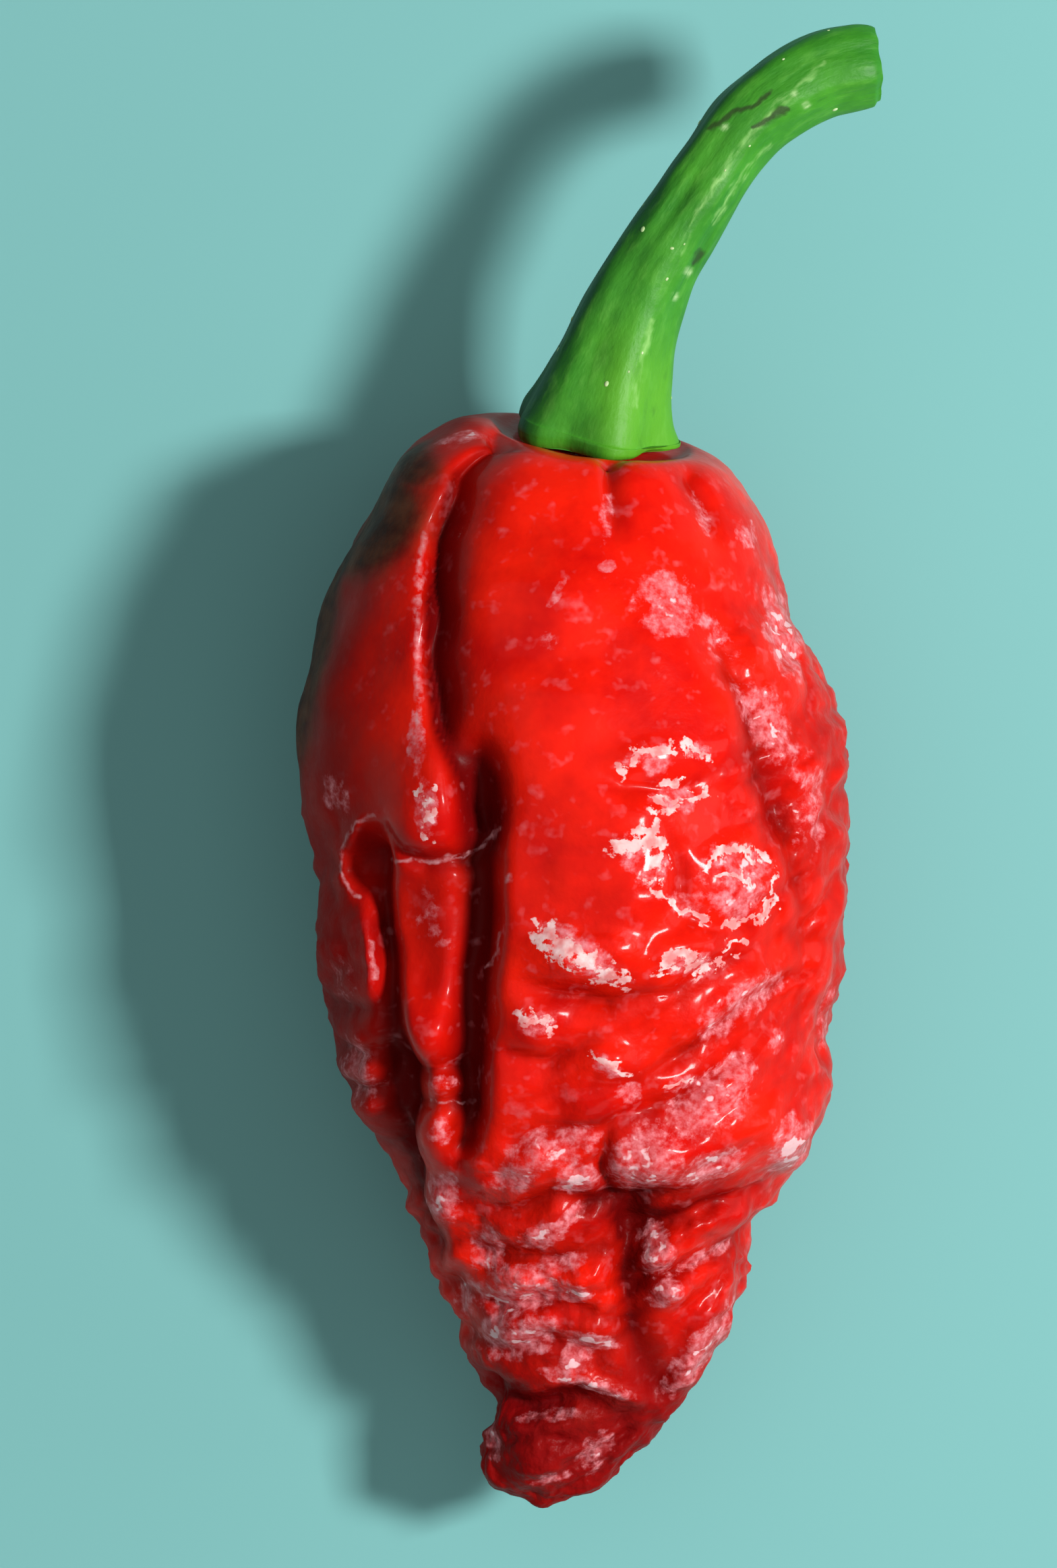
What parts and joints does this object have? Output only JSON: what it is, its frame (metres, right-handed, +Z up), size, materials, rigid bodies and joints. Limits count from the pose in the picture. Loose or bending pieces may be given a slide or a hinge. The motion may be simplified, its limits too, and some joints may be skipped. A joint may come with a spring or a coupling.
{
  "type": "ghost pepper",
  "caption": "Ripe ghost pepper as picked, lying on its side: a wrinkled, lobed red pod with its curved green stem.",
  "frame": {"origin": "on the flat spot the pod lies on, below the middle of the pod", "axes": "+Y from the tip towards the stem, +Z up from the surface it lies on, +X to the right seen from above with the stem away from the viewer"},
  "size_m": [0.0323, 0.0824, 0.0278],
  "materials": {
    "pepper_skin": "gloss",
    "stem_green": "satin"
  },
  "bodies": {
    "root": {"pod": "pepper_skin", "stem": "stem_green"}
  },
  "joints": []
}
